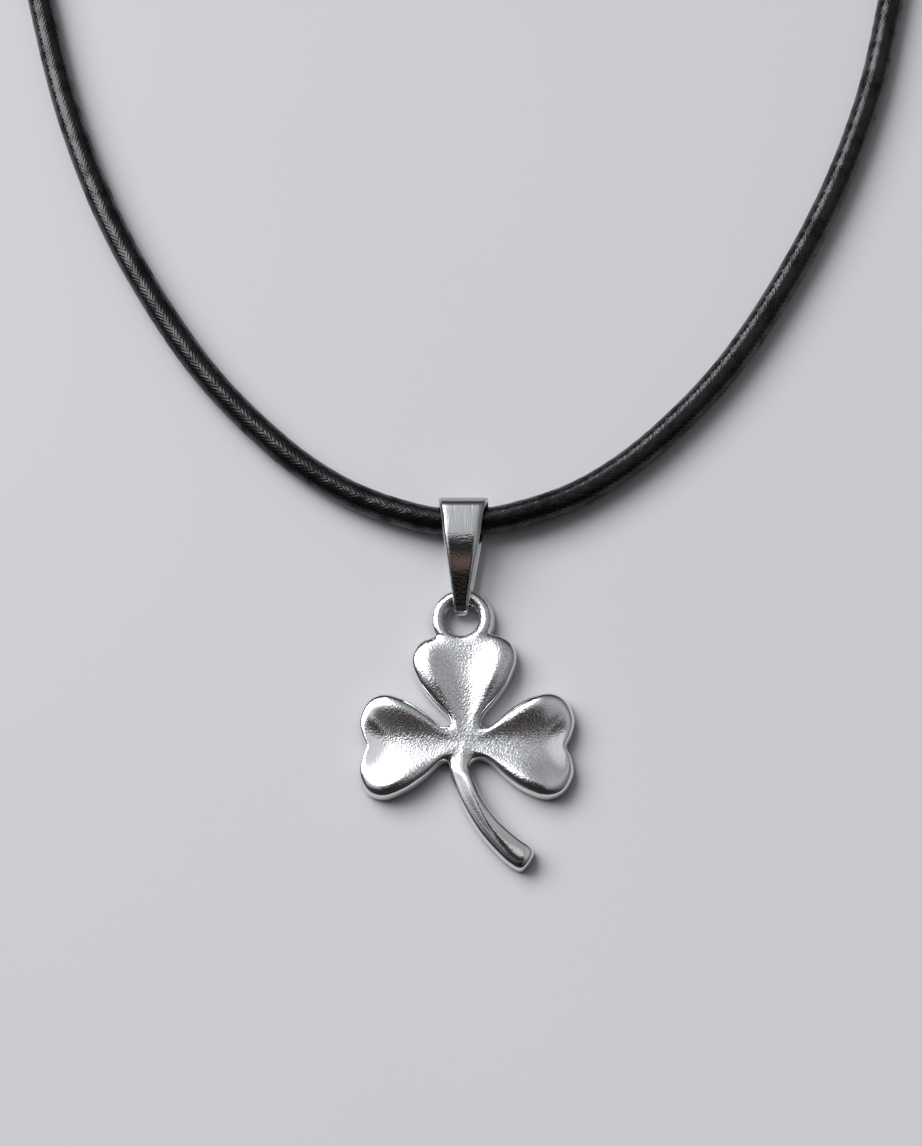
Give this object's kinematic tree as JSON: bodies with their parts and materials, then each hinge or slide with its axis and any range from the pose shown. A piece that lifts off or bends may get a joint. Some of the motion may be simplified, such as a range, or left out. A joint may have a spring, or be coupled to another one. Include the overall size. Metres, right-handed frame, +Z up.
{
  "type": "shamrock pendant necklace",
  "caption": "Cast silver shamrock pendant hung by a tapered folded bail on a closed loop of round black braided cord with a barrel clasp.",
  "frame": {"origin": "on the surface that the pendant lies on, under the middle of the box of the shamrock and its bail", "axes": "+X to the right leaf, +Y from the stem to the bail and on to the clasp, +Z up out of the front"},
  "size_m": [0.114, 0.205, 0.005],
  "materials": {
    "silver_cast": "satin cast silver, polished on its crests and rims",
    "silver_sheet": "polished sheet",
    "cord_black": "waxed braid",
    "clasp_silver": "brushed"
  },
  "bodies": {
    "root": {"shamrock": "silver_cast", "bail": "silver_sheet", "cord": "cord_black", "clasp": "clasp_silver"}
  },
  "joints": []
}
